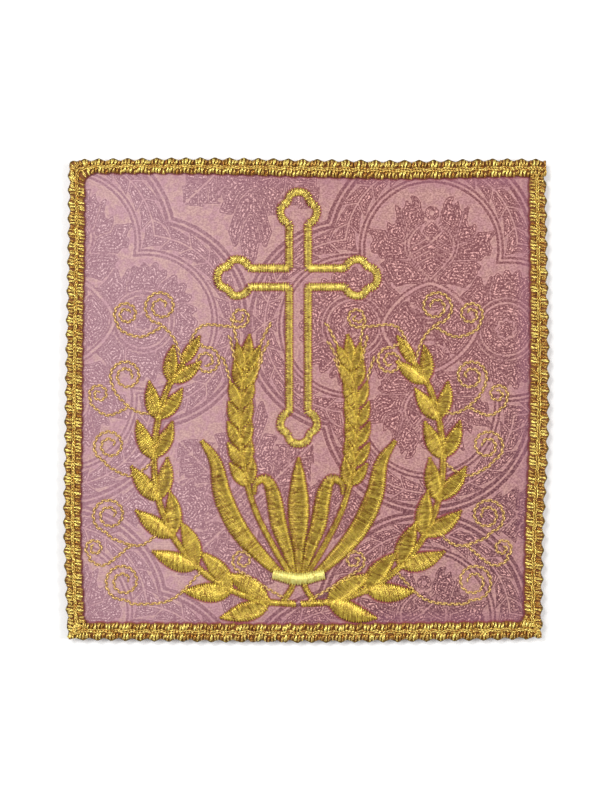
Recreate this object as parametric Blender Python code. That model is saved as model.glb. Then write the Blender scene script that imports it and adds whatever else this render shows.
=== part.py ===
"""Chalice pall: a stiff square of rose damask edged with one length of scalloped gold braid.

It lies face up. The origin is under its middle, +Y points to the top of the design and +Z
is up out of the face. Sizes are in millimetres up to the MM factor that makes them metres.
"""

import math

import bpy

MM = 0.001

# Heights above the surface that the pall rests on.
PANEL_THICK = 2.2
PANEL_EDGE_ROUND = 0.5
BRAID_CLEARANCE = 0.3
BRAID_THICK = 0.9

# The panel's edge lies this far inside the line of the braid's outer edge.
PANEL_INSET = 1.3
PANEL_STEP = 10.0
PANEL_RADIUS = 2.5

# The braid's scallops, each edge bulging out between narrow valleys.
SCALLOP_PITCH = 4.75
SCALLOP_POINTS = 4
SCALLOP_FULLNESS = 0.7
OUTER_SCALLOP = 0.9
INNER_SCALLOP = 0.5

# The braid is folded at the lower corners, where a blunt tip stands out, and eased round
# the upper left one. The end of its top strip slants over the start of the right one.
FOLD_REACH = 3.0
FOLD_BLUNT = 0.9
EASED_RADIUS_OUTER = 2.5
EASED_RADIUS_INNER = 4.0
EASED_FROM = 165
EASED_TO = 105
END_REACH = 1.6
END_SLANT = 0.8
BUTT_GAP = 0.3

# Round corners are arcs of a few straight steps. Angles are in degrees.
QUARTER_TURN = 90
ARC_STEPS = 4

# Hand-sewn sides, none quite straight. Columns: place along the side, distance of the
# braid's outer edge from the middle lines, and the braid's width there.
ALONG, OUT, WIDTH = range(3)
SIDES = {
    "right": ((-79.2, 77.6, 6.0), (-44.0, 78.3, 6.1), (-12.0, 79.8, 6.3),
              (12.0, 80.0, 6.2), (42.0, 79.5, 5.7), (79.2, 78.9, 5.6)),
    "bottom": ((-79.0, 79.2, 5.7), (-60.0, 79.5, 5.8), (-24.0, 80.0, 6.0),
               (4.0, 80.1, 6.0), (46.0, 79.6, 6.0), (77.6, 78.9, 5.9)),
    "left": ((-79.2, 79.0, 5.8), (-44.0, 80.2, 5.6), (-12.0, 79.9, 5.7),
             (21.0, 79.4, 5.5), (52.0, 78.8, 5.4), (79.2, 78.6, 5.2)),
    "top": ((-78.6, 79.2, 4.4), (-34.0, 79.7, 5.2), (4.0, 79.2, 5.8),
            (34.0, 78.9, 6.1), (66.0, 79.4, 5.9), (79.8, 79.2, 5.6)),
}

# Columns: colour, roughness and metallic value.
MATERIALS = {
    "rose_damask": ((0.45, 0.22, 0.23, 1.0), 0.6, 0.0),
    "gold_braid": ((0.42, 0.27, 0.06, 1.0), 0.4, 0.6),
}


def side_value(side, column, along):
    """Width or distance out at a place along a side, on a smooth curve through the table."""
    rows = SIDES[side]
    last = len(rows) - 1
    index = 0
    while index < last - 1 and along > rows[index + 1][ALONG]:
        index += 1
    before = rows[max(index - 1, 0)]
    start = rows[index]
    end = rows[index + 1]
    after = rows[min(index + 2, last)]
    span = end[ALONG] - start[ALONG]
    t = (along - start[ALONG]) / span
    slope_in = span * (end[column] - before[column]) / (end[ALONG] - before[ALONG])
    slope_out = span * (after[column] - start[column]) / (after[ALONG] - start[ALONG])
    return ((2 * t ** 3 - 3 * t ** 2 + 1) * start[column]
            + (t ** 3 - 2 * t ** 2 + t) * slope_in
            + (3 * t ** 2 - 2 * t ** 3) * end[column]
            + (t ** 3 - t ** 2) * slope_out)


def side_point(side, along, out):
    """Point in the plane, from a place along a side and a distance out from the middle."""
    if side == "right":
        return (out, along)
    if side == "left":
        return (-out, along)
    if side == "top":
        return (along, out)
    return (along, -out)


def scallop(position):
    """Height of a scallop, from 0 in the valleys to 1 on the peaks, at a place in pitches."""
    return abs(math.sin(math.pi * position)) ** SCALLOP_FULLNESS


def braid_edge(side, start, end, inner):
    """Points of the braid's outer or inner edge along a side, its scallops included."""
    count = max(1, round(abs(end - start) / SCALLOP_PITCH))
    depth = INNER_SCALLOP if inner else OUTER_SCALLOP
    points = []
    for step in range(count * SCALLOP_POINTS + 1):
        position = step / SCALLOP_POINTS
        along = start + (end - start) * position / count
        bulge = depth * (scallop(position) - 0.5)
        out = side_value(side, OUT, along)
        if inner:
            out -= side_value(side, WIDTH, along) + bulge
        else:
            out += bulge
        points.append(side_point(side, along, out))
    return points


def arc(centre, radius, start, end, steps):
    """Points on an arc between two angles in degrees, both ends included."""
    points = []
    for step in range(steps + 1):
        angle = math.radians(start + (end - start) * step / steps)
        points.append((centre[0] + radius * math.cos(angle), centre[1] + radius * math.sin(angle)))
    return points


def corner(vertical, horizontal, inset):
    """Corner where a left or right side meets the top or bottom, at an inset from the edge."""
    row_v = SIDES[vertical][-1 if horizontal == "top" else 0]
    row_h = SIDES[horizontal][-1 if vertical == "right" else 0]
    out_x = row_v[OUT] - (row_v[WIDTH] if inset is None else inset)
    out_y = row_h[OUT] - (row_h[WIDTH] if inset is None else inset)
    x = out_x if vertical == "right" else -out_x
    y = out_y if horizontal == "top" else -out_y
    return (x, y)


def toward(start, target, distance):
    """Point at a distance from a start, on the way to a target."""
    share = distance / math.dist(start, target)
    return (start[0] + (target[0] - start[0]) * share, start[1] + (target[1] - start[1]) * share)


def fold_tip(before, tip, after):
    """Blunt tip of a folded corner, between the edge points before and after it."""
    return [toward(tip, before, FOLD_BLUNT), toward(tip, after, FOLD_BLUNT)]


def outer_edge(start, tip_br, tip_bl, corner_tl, top_end):
    """Outer edge of the braid, down the right, along the bottom, up the left, along the top."""
    peak = OUTER_SCALLOP / 2
    right = braid_edge("right", start, tip_br[1] + FOLD_REACH, inner=False)
    bottom = braid_edge("bottom", tip_br[0] - FOLD_REACH, tip_bl[0] + FOLD_REACH, inner=False)
    turn = (corner_tl[0] + EASED_RADIUS_OUTER, corner_tl[1] - EASED_RADIUS_OUTER)
    left = braid_edge("left", tip_bl[1] + FOLD_REACH, turn[1], inner=False)
    eased = arc(turn, EASED_RADIUS_OUTER + peak, EASED_FROM, EASED_TO, ARC_STEPS)
    top = braid_edge("top", turn[0], top_end - END_REACH, inner=False)
    end_tip = (top_end, SIDES["top"][-1][OUT] + peak)
    return (right + fold_tip(right[-1], tip_br, bottom[0])
            + bottom + fold_tip(bottom[-1], tip_bl, left[0])
            + left + eased + top + [end_tip])


def inner_edge(start, corner_br, corner_bl, corner_tl, top_end):
    """Inner edge of the braid, back from the end of the top strip to the start of the right one."""
    turn = (corner_tl[0] + EASED_RADIUS_INNER, corner_tl[1] - EASED_RADIUS_INNER)
    half = SCALLOP_PITCH / 2
    top = braid_edge("top", top_end - END_SLANT, turn[0], inner=True)
    eased = arc(turn, EASED_RADIUS_INNER, EASED_TO, EASED_FROM, ARC_STEPS)
    left = braid_edge("left", turn[1], corner_bl[1] + half, inner=True)
    bottom = braid_edge("bottom", corner_bl[0] + half, corner_br[0] - half, inner=True)
    right = braid_edge("right", corner_br[1] + half, start, inner=True)
    return top + eased + left + [corner_bl] + bottom + [corner_br] + right


def braid_outline():
    """Outline of the whole braid, its outer edge and then its inner edge back."""
    top_end, top_out, top_width = SIDES["top"][-1]
    start = top_out - top_width - INNER_SCALLOP - BUTT_GAP
    peak = -OUTER_SCALLOP / 2
    outer = outer_edge(start, corner("right", "bottom", peak), corner("left", "bottom", peak),
                       corner("left", "top", 0.0), top_end)
    inner = inner_edge(start, corner("right", "bottom", None), corner("left", "bottom", None),
                       corner("left", "top", None), top_end)
    return outer + inner


def panel_turn(vertical, horizontal):
    """Centre of the panel's rounded corner where two sides meet."""
    x, y = corner(vertical, horizontal, PANEL_INSET)
    return (x - math.copysign(PANEL_RADIUS, x), y - math.copysign(PANEL_RADIUS, y))


def panel_outline():
    """Outline of the cloth square, a little inside the braid's outer edge."""
    sides = ("right", "top", "left", "bottom")
    turns = (panel_turn("right", "bottom"), panel_turn("right", "top"),
             panel_turn("left", "top"), panel_turn("left", "bottom"))
    outline = []
    for index, side in enumerate(sides):
        first_angle = QUARTER_TURN * (index - 1)
        outline += arc(turns[index], PANEL_RADIUS, first_angle, first_angle + QUARTER_TURN, ARC_STEPS)
        axis = 1 if side in ("right", "left") else 0
        start = turns[index][axis]
        end = turns[(index + 1) % len(turns)][axis]
        count = round(abs(end - start) / PANEL_STEP)
        for step in range(1, count):
            along = start + (end - start) * step / count
            outline.append(side_point(side, along, side_value(side, OUT, along) - PANEL_INSET))
    return outline


def middle_of(outline):
    """Middle of an outline's bounding box."""
    xs = [x for x, _ in outline]
    ys = [y for _, y in outline]
    return ((min(xs) + max(xs)) / 2, (min(ys) + max(ys)) / 2)


def principled(name):
    """Material from the table, with its colour, roughness and metallic value."""
    colour, roughness, metallic = MATERIALS[name]
    material = bpy.data.materials.new(name)
    material.use_nodes = True
    shader = material.node_tree.nodes["Principled BSDF"]
    shader.inputs["Base Color"].default_value = colour
    shader.inputs["Roughness"].default_value = roughness
    shader.inputs["Metallic"].default_value = metallic
    return material


def flat_piece(name, outline, middle, bottom, thick, edge_round, material):
    """Flat closed piece from its outline, at its own height, its edges rounded if asked."""
    curve = bpy.data.curves.new(name, "CURVE")
    curve.dimensions = "2D"
    curve.fill_mode = "BOTH"
    curve.extrude = (thick / 2 - edge_round) * MM
    curve.bevel_depth = edge_round * MM
    curve.bevel_resolution = 1
    curve.offset = -edge_round * MM
    spline = curve.splines.new("POLY")
    spline.points.add(len(outline) - 1)
    for point, (x, y) in zip(spline.points, outline):
        point.co = ((x - middle[0]) * MM, (y - middle[1]) * MM, 0.0, 1.0)
    spline.use_cyclic_u = True
    curve.materials.append(principled(material))
    piece = bpy.data.objects.new(name, curve)
    piece.location = (0.0, 0.0, (bottom + thick / 2) * MM)
    return piece


def clear_scene():
    """Empty the scene of whatever it opened with."""
    for item in list(bpy.data.objects):
        bpy.data.objects.remove(item, do_unlink=True)


def build():
    """Make the panel and the braid that lies along its edge."""
    clear_scene()
    collection = bpy.data.collections.new("chalice_pall")
    bpy.context.scene.collection.children.link(collection)

    braid_line = braid_outline()
    middle = middle_of(braid_line)
    panel = flat_piece("panel", panel_outline(), middle, 0.0, PANEL_THICK, PANEL_EDGE_ROUND, "rose_damask")
    braid = flat_piece("braid", braid_line, middle, PANEL_THICK + BRAID_CLEARANCE, BRAID_THICK, 0.0,
                       "gold_braid")
    collection.objects.link(panel)
    collection.objects.link(braid)


build()
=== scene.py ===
import math

import bpy
import numpy as np
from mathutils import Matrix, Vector
from mathutils.kdtree import KDTree


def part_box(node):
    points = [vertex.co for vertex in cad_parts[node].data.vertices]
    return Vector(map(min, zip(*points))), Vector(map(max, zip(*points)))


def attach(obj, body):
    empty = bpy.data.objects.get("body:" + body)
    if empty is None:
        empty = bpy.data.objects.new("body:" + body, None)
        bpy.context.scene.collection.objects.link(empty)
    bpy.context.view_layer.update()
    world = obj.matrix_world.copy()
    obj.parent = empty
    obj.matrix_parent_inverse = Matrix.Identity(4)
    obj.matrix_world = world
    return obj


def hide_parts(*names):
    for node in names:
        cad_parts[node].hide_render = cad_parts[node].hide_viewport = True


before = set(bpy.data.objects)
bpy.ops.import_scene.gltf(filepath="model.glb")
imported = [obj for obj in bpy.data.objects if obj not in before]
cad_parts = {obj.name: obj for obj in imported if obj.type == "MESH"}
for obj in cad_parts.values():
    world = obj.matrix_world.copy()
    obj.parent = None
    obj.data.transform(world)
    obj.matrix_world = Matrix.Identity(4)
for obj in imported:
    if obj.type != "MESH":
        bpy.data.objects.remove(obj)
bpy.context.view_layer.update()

MM = 0.001
UP = np.array((0.0, 0.0, 1.0))
HALF_ROOT = math.sqrt(0.5)
rng = np.random.default_rng(11)

# The photo's own scale, and the pixel that the middle of the pall lands on.
PHOTO_WIDTH = 613
PHOTO_HEIGHT = 800
MM_PER_PIXEL = 0.331
MIDDLE_PIXEL = (306.4, 400.2)

# Camera straight above, far enough over the cloth's height for the photo's frame at this lens.
LENS = 85
SENSOR = 36
CLOTH_HEIGHT = 2.5


def from_pixel(x, y):
    """Place on the pall, in millimetres, of a pixel of the photo."""
    return ((x - MIDDLE_PIXEL[0]) * MM_PER_PIXEL, (MIDDLE_PIXEL[1] - y) * MM_PER_PIXEL)


# Meshes

def new_object(name, data):
    """New object in the scene."""
    item = bpy.data.objects.new(name, data)
    bpy.context.scene.collection.objects.link(item)
    return item


def mesh_object(name, points, faces, material):
    """New mesh from points in millimetres and arrays of faces."""
    mesh = bpy.data.meshes.new(name)
    corners = np.concatenate([face.ravel() for face in faces]).astype(np.int32)
    sizes = np.concatenate([np.full(len(face), face.shape[1]) for face in faces])
    starts = np.concatenate(([0], np.cumsum(sizes)[:-1])).astype(np.int32)
    mesh.vertices.add(len(points))
    mesh.vertices.foreach_set("co", (points * MM).astype(np.float32).ravel())
    mesh.loops.add(len(corners))
    mesh.loops.foreach_set("vertex_index", corners)
    mesh.polygons.add(len(sizes))
    mesh.polygons.foreach_set("loop_start", starts)
    mesh.update(calc_edges=True)
    mesh.validate()
    mesh.shade_smooth()
    mesh.materials.append(material)
    return new_object(name, mesh)


def mesh_piece(name, points, faces, slot, material):
    """New piece of the pall."""
    piece = mesh_object(name, points, faces, material)
    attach(piece, "root")
    return piece


def add_values(piece, name, values):
    """Give each point of a piece its own value, for its material to read."""
    attribute = piece.data.attributes.new(name, "FLOAT", "POINT")
    attribute.data.foreach_set("value", values.astype(np.float32))


def unit(vectors):
    """Vectors of length one."""
    return vectors / np.maximum(np.linalg.norm(vectors, axis=-1, keepdims=True), 1e-9)


def square_to(paths):
    """Two directions square to each path and to each other: level, and upward."""
    along = unit(np.gradient(paths, axis=1))
    side = unit(np.cross(along, UP))
    return side, np.cross(side, along)


def threads(paths, radius, sides=5):
    """Closed round threads along many paths at once: their points and faces."""
    count, steps, _ = paths.shape
    side, out = square_to(paths)
    turn = (np.arange(sides) + 0.5) * math.tau / sides
    ring = np.cos(turn)[:, None] * side[:, :, None] + np.sin(turn)[:, None] * out[:, :, None]
    radius = np.broadcast_to(radius, (count, steps))
    points = paths[:, :, None] + radius[:, :, None, None] * ring
    first = np.arange(count * steps).reshape(count, steps) * sides
    k = np.arange(sides)
    after = (k + 1) % sides
    low = first[:, :-1, None]
    high = first[:, 1:, None]
    quads = np.stack((low + k, high + k, high + after, low + after), axis=-1).reshape(-1, 4)
    starts = first[:, 0, None] + k
    ends = first[:, -1, None] + k[::-1]
    return points.reshape(-1, 3), [quads, starts, ends]


def joined(parts):
    """Several sets of points and faces as one."""
    points = []
    faces = []
    count = 0
    for part_points, part_faces in parts:
        points.append(part_points)
        faces += [face + count for face in part_faces]
        count += len(part_points)
    return np.concatenate(points), faces


def grid_points(x, y, z):
    """Points of a grid, row by row."""
    return np.stack(np.broadcast_arrays(x, y, z), axis=-1).reshape(-1, 3)


def grid_faces(numbers, upward):
    """Square faces of a grid."""
    faces = np.stack((numbers[:-1, :-1], numbers[:-1, 1:], numbers[1:, 1:], numbers[1:, :-1]), axis=-1)
    faces = faces.reshape(-1, 4)
    return faces if upward else faces[:, ::-1]


def grid_loop(numbers):
    """Numbers round the edge of a square grid, anticlockwise from its lower left corner."""
    return np.concatenate((numbers[0, :-1], numbers[:-1, -1], numbers[-1, :0:-1], numbers[:0:-1, 0]))


def loop_faces(lower, upper):
    """Square faces between two closed loops of points, the second one further in or up."""
    return np.stack((lower, np.roll(lower, -1), np.roll(upper, -1), upper), axis=-1)


# Lines

def smooth_line(points, closed=False, fine=14):
    """Smooth line through points. Columns after the first two, such as a width, go along."""
    p = np.asarray(points, float)
    if closed:
        padded = np.vstack((p[-1], p, p[0], p[1]))
    else:
        padded = np.vstack((2 * p[0] - p[1], p, 2 * p[-1] - p[-2]))
    t = (np.arange(fine) / fine)[:, None]
    spans = []
    for a, b, c, d in zip(padded, padded[1:], padded[2:], padded[3:]):
        bend = (2 * a - 5 * b + 4 * c - d) * t ** 2 + (3 * b - a - 3 * c + d) * t ** 3
        spans.append(0.5 * (2 * b + (c - a) * t + bend))
    spans.append(p[:1] if closed else p[-1:])
    return np.concatenate(spans)


def distances(lines):
    """Distance of each point of a line from the line's start, for one line or many."""
    steps = np.linalg.norm(np.diff(lines, axis=-2), axis=-1)
    return np.concatenate((np.zeros((*steps.shape[:-1], 1)), np.cumsum(steps, axis=-1)), axis=-1)


def points_at(line, length, where):
    """Points at some distances along a line, whose own points lie at the distances in length."""
    return np.stack([np.interp(where, length, column) for column in line.T], axis=-1)


def at_equal_steps(line, step):
    """Points of a line at equal steps."""
    length = distances(line[:, :2])
    count = max(3, round(length[-1] / step) + 1)
    return points_at(line, length, np.linspace(0, length[-1], count))


def left_of(line):
    """Directions square to a line, to its left."""
    ahead = unit(np.gradient(line[:, :2], axis=0))
    return np.column_stack((-ahead[:, 1], ahead[:, 0]))


def turned(x, y, degrees):
    """Place turned anticlockwise about the origin."""
    angle = math.radians(degrees)
    return x * math.cos(angle) - y * math.sin(angle), x * math.sin(angle) + y * math.cos(angle)


# Materials

class Output:
    """What a node gives, for sums that are written as with plain numbers."""

    def __init__(self, graph, socket):
        self.graph = graph
        self.socket = socket

    def __add__(self, other):
        return self.graph.math("ADD", self, other)

    def __sub__(self, other):
        return self.graph.math("SUBTRACT", self, other)

    def __rsub__(self, other):
        return self.graph.math("SUBTRACT", other, self)

    def __mul__(self, other):
        return self.graph.math("MULTIPLY", self, other)

    def __abs__(self):
        return self.graph.math("ABSOLUTE", self)


class Graph:
    """Nodes of one material, made and linked in the order that they are used."""

    def __init__(self, name):
        self.material = bpy.data.materials.new(name)
        self.material.use_nodes = True
        self.tree = self.material.node_tree
        self.shader = self.tree.nodes["Principled BSDF"]

    def put(self, value, socket):
        """Link what a node gives to a socket, or set the socket to a number or colour."""
        if isinstance(value, Output):
            self.tree.links.new(value.socket, socket)
        else:
            socket.default_value = value

    def node(self, kind, inputs=(), output=0, **settings):
        """New node, from its settings and the values of its inputs by name or number."""
        node = self.tree.nodes.new("ShaderNode" + kind)
        for name, value in settings.items():
            setattr(node, name, value)
        for name, value in dict(inputs).items():
            self.put(value, node.inputs[name])
        return Output(self, node.outputs[output])

    def value(self, name):
        """Value that the mesh gives each of its points."""
        return self.node("Attribute", output="Fac", attribute_name=name)

    def place(self):
        """Place in the object's own space, in metres."""
        return self.node("TexCoord", output="Object")

    def coordinate(self, axis):
        """Place along one axis, X or Y, in millimetres."""
        return self.node("SeparateXYZ", {0: self.place()}, axis) * (1 / MM)

    def math(self, operation, *numbers):
        """One sum on numbers."""
        return self.node("Math", enumerate(numbers), operation=operation)

    def ramp(self, value, low, high, to_low=0.0, to_high=1.0):
        """Value taken smoothly from one range to another, and held at its ends."""
        numbers = (value, low, high, to_low, to_high)
        return self.node("MapRange", enumerate(numbers), interpolation_type="SMOOTHSTEP")

    def noise(self, scale, detail=2.0, roughness=0.5):
        """Noise from 0 to 1. Its scale is in cells per millimetre, one number or one for each axis."""
        scale = tuple(np.broadcast_to(scale, 3) / MM)
        place = self.node("Mapping", {"Vector": self.place(), "Scale": scale})
        inputs = {"Vector": place, "Scale": 1.0, "Detail": detail, "Roughness": roughness}
        return self.node("TexNoise", inputs, "Fac")

    def mix(self, factor, first, second):
        """Colour between two colours."""
        return self.node("Mix", {0: factor, 6: first, 7: second}, 2, data_type="RGBA")

    def bump(self, height, depth):
        """Bumps from a height of 0 to 1, with their real depth in millimetres."""
        normal = self.node("Bump", {"Strength": 1.0, "Distance": depth * MM, "Height": height})
        self.put(normal, self.shader.inputs["Normal"])

    def finish(self, **sockets):
        """Set the shader's sockets and give the material."""
        for name, value in sockets.items():
            self.put(value, self.shader.inputs[name.replace("_", " ")])
        return self.material


def colour(red, green, blue):
    """Linear colour from a photo's 0 to 255 levels."""
    shares = np.array((red, green, blue)) / 255
    levels = np.where(shares <= 0.04045, shares / 12.92, ((shares + 0.055) / 1.055) ** 2.4)
    return (*levels, 1.0)


# Damask

# The repeat is mirrored both ways about this point, and again half a repeat away.
DAMASK_ORIGIN = (40.8, 24.0)
DAMASK_TILT = -1.2
DAMASK_HALF_REPEAT = (60.1, 61.25)
DAMASK_GROUND = -3.0

# Four round lobes meet in a quatrefoil. Columns: a line's distance from its lobe's centre, half width.
LOBE_OUT = 26.1
RING_LINES = ((22.2, 0.42), (23.7, 0.4), (33.4, 0.62), (35.3, 0.6))
RING_MARGIN = 0.8
GAP = 0.42

PALMETTE_CORE = (-11.0, 10.2, 8.6)
PALMETTE_DIAMOND = (6.0, 3.6, 3.6)
PALMETTE_RING = (11.9, 2.4, 0.85)
PALMETTE_VEINS = (-6.0, -3.8, -1.6, 0.6)
PALMETTE_LEAVES = (
    ((3.0, 9.4), (3.0, 11.6), (4.1, 13.4), (4.2, 15.2), (5.3, 16.8), (6.8, 17.1), (6.1, 15.5), (6.4, 13.8),
     (7.5, 14.2), (8.4, 15.5), (8.7, 13.6), (9.7, 12.2), (7.2, 3.4)),
    ((7.0, 3.4), (9.4, 10.8), (10.3, 12.6), (12.0, 14.0), (11.5, 12.0), (11.2, 9.8), (11.9, 7.6),
     (13.2, 7.1), (14.3, 8.2), (14.4, 6.6), (13.4, 4.0), (8.0, 2.0)),
    ((7.8, 2.6), (13.6, 5.0), (15.4, 5.4), (17.8, 5.6), (21.2, 6.1), (19.5, 4.2), (18.7, 2.4), (19.8, 0.8),
     (19.4, -1.4), (17.6, -1.4), (16.4, -3.2), (13.0, -2.8), (7.2, -3.2)),
    ((6.9, -3.0), (13.6, -2.8), (14.6, -4.2), (16.4, -5.6), (15.0, -7.0), (15.6, -9.0), (14.4, -10.8),
     (12.6, -10.8), (11.2, -12.4), (8.4, -11.4), (3.2, -11.0), (2.2, -9.2)),
)

OGEE_HALF = (15.6, 14.6)
OGEE_POWER = 1.5
OGEE_LOBES = ((0.0, -8.6, 5.6, 4.8), (7.2, 0.0, 6.6, 8.6), (0.0, 9.6, 6.8, 3.9))
OGEE_LOBE_POWER = 2.2
OGEE_INSET = 1.4
OGEE_LATTICE = ((0.0, -1.0), (2.6, 3.4), (5.6, 7.4))
SIDE_LEAVES = (
    ((15.8, 2.4), (10.9, 10.4), (13.4, 12.4), (15.9, 16.5), (17.0, 12.8), (18.4, 12.4), (20.3, 16.6),
     (21.0, 9.4)),
    ((21.0, 8.6), (20.9, 12.4), (22.2, 17.6), (24.0, 15.8), (25.2, 18.8), (27.0, 16.2), (29.0, 18.9),
     (29.6, 15.4), (32.0, 16.6), (31.2, 8.0), (26.0, 8.6)),
    ((30.0, 7.4), (31.6, 12.0), (35.3, 14.9), (35.6, 11.6), (38.6, 12.2), (37.6, 9.0), (40.4, 8.6),
     (38.6, 6.0), (34.0, 3.6)),
    ((34.2, 3.4), (38.8, 5.6), (42.2, 4.4), (39.6, 2.6), (42.4, 0.4), (42.4, -0.4), (39.6, -2.6),
     (42.2, -4.4), (38.8, -5.6), (34.2, -3.4)),
)
# Leaves swell by this much, so that only thin lines part them.
PALMETTE_SWELL = 0.5
SIDE_SWELL = 1.0
SPRIG_SWELL = 0.7
ROSETTE_OUT = 25.3
ROSETTE_RADIUS = 10.0
ROSETTE_STAR = 3.0

# Places along the mirror lines are measured from the middle of the space between four quatrefoils.
SPRIG_LEAVES = (
    ((0.2, -11.0), (3.6, -12.0), (7.4, -10.6), (8.6, -14.0), (6.6, -15.6), (9.4, -17.8), (8.2, -20.6),
     (9.8, -24.0), (6.6, -24.6), (5.0, -22.0), (2.6, -19.0), (0.2, -17.4)),
    ((0.2, -17.8), (2.8, -20.6), (4.8, -25.2), (6.6, -30.6), (5.0, -35.2), (3.4, -31.6), (2.2, -27.4),
     (0.2, -24.0)),
    ((0.0, -26.0), (1.4, -28.6), (2.6, -34.0), (1.6, -39.4), (0.0, -42.0)),
)
STAR_LEAVES = (
    ((12.0, 0.0), (14.2, 3.4), (13.0, 6.6), (16.6, 5.6), (17.6, 8.8), (20.4, 6.0), (23.8, 8.2), (23.6, 4.6),
     (28.0, 4.0), (25.6, 1.6), (29.4, 0.0)),
    ((31.0, 0.0), (33.4, 2.6), (36.2, 4.4), (38.0, 1.8), (40.6, 0.0)),
)
TRELLIS_HALF = (8.6, 9.6)
TRELLIS_POWER = 1.5
TRELLIS_PITCH = 2.7

# Toothed leaves: where they start and end along their axis, half width, teeth and their depth.
SLANTED_LEAF = (8.0, 31.5, 9.5, 5, 0.3)
LEVEL_LEAF = (8.0, 46.0, 10.5, 7, 0.3)
RIB_PITCH = 4.2


def disc(x, y, cx, cy, radius):
    """Signed distance inside a disc."""
    return radius - np.hypot(x - cx, y - cy)


def rounded_diamond(x, y, half_x, half_y, power):
    """Signed distance, near enough, inside a diamond with bowed sides."""
    u = np.abs(x) / half_x + 1e-6
    v = np.abs(y) / half_y + 1e-6
    r = (u ** power + v ** power) ** (1 / power)
    slope = np.hypot((u / r) ** (power - 1) / half_x, (v / r) ** (power - 1) / half_y)
    return (1 - r) / slope


def outside(value, low, high):
    """How far a value lies outside a range, or 0 within it."""
    return np.maximum(np.maximum(low - value, value - high), 0)


def pointed_oval(x, y, bottom, top, half):
    """Signed distance, near enough, inside an oval with pointed ends, fullest above its middle."""
    t = np.clip((y - bottom) / (top - bottom), 0, 1)
    width = half * np.sin(np.pi * t ** 1.25) ** 0.8
    return (width - np.abs(x)) * 0.85 - outside(y, bottom, top)


def edge_lines(x, y, points):
    """Distance to a line through some points."""
    nearest = np.full(x.shape, 1e9)
    for (ax, ay), (bx, by) in zip(points, points[1:]):
        ex, ey = bx - ax, by - ay
        share = np.clip(((x - ax) * ex + (y - ay) * ey) / (ex * ex + ey * ey + 1e-12), 0, 1)
        nearest = np.minimum(nearest, np.hypot(x - ax - share * ex, y - ay - share * ey))
    return nearest


def polygon(x, y, points):
    """Signed distance inside a polygon."""
    closed = [*points, points[0]]
    inside = np.zeros(x.shape, bool)
    for (ax, ay), (bx, by) in zip(closed, closed[1:]):
        crosses = (ay > y) != (by > y)
        rise = by - ay or 1e-9
        inside ^= crosses & (x < ax + (y - ay) * (bx - ax) / rise)
    nearest = edge_lines(x, y, closed)
    return np.where(inside, nearest, -nearest)


def whole_leaf(points):
    """Outline of a leaf along x, from one half of it."""
    return [*points, *((x, -y) for x, y in reversed(points))]


def toothed_leaf(x, y, start, end, half, teeth, depth):
    """Signed distance, near enough, inside a toothed leaf along y, with a vein down its middle."""
    t = np.clip((y - start) / (end - start), 0, 1)
    tooth = (t * teeth) % 1
    width = half * np.sin(np.pi * t ** 0.85) ** 0.8 * (1 - depth * tooth)
    ribs = 0.26 - np.abs((np.abs(x) * 0.8 - (y - start) + 40) % RIB_PITCH - RIB_PITCH / 2)
    leaf = (width - np.abs(x)) * 0.8 - outside(y, start, end)
    return np.minimum(np.minimum(leaf, np.abs(x) - 0.3), -np.minimum(ribs, leaf - 1.0))


def over(field, shape, gap=GAP):
    """Field with a new figure laid over it, with a gap of plain ground round the new one."""
    return np.maximum(shape, np.minimum(field, -gap - shape))


def cut(field, shape):
    """Field with a shape of plain ground cut out of it."""
    return np.minimum(field, -shape)


def leaves_over(field, x, y, leaves, swell):
    """Field with leaves laid over it, one after another."""
    for leaf in leaves:
        field = over(field, polygon(x, y, leaf) + swell)
    return field


def lobe_place(x, y):
    """Distance from the nearer lobe's centre, and the angle from that lobe's own axis."""
    up = np.hypot(x, y - LOBE_OUT)
    side = np.hypot(x - LOBE_OUT, y)
    up_angle = np.arctan2(x, y - LOBE_OUT)
    side_angle = np.arctan2(y, x - LOBE_OUT)
    return np.minimum(up, side), np.where(up < side, up_angle, side_angle)


def palmette(x, y, field):
    """Palmette of pairs of spiky leaves round a pointed oval."""
    field = leaves_over(field, x, y, PALMETTE_LEAVES[::-1], PALMETTE_SWELL)
    core = pointed_oval(x, y, *PALMETTE_CORE)
    field = over(field, core)
    field = cut(field, 0.3 - np.abs(core - 0.9))
    centre, radius, hole = PALMETTE_RING
    field = over(field, disc(x, y, 0, centre, radius))
    field = cut(field, disc(x, y, 0, centre, hole))
    height, half_x, half_y = PALMETTE_DIAMOND
    diamond = rounded_diamond(x, y - height, half_x, half_y, 1.1)
    field = cut(field, 0.3 - np.abs(diamond))
    for low in PALMETTE_VEINS:
        vein = 0.22 - edge_lines(x, y, ((0.3, low + 3.4), (6.6, low - 0.2)))
        field = cut(field, np.minimum(vein, core - 1.4))
    return field


def side_lobe(x, y, field):
    """Rosette with a crown of spiky leaves."""
    field = leaves_over(field, x, y, SIDE_LEAVES, SIDE_SWELL)
    rosette = disc(x, y, ROSETTE_OUT, 0.0, ROSETTE_RADIUS)
    field = over(field, rosette, 0.55)
    field = cut(field, 0.32 - np.abs(rosette - 1.3))
    turn = np.arctan2(y, x - ROSETTE_OUT)
    star = disc(x, y, ROSETTE_OUT, 0.0, ROSETTE_STAR) + 0.35 * np.cos(turn * 8)
    return cut(field, 0.4 - np.abs(star))


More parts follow.
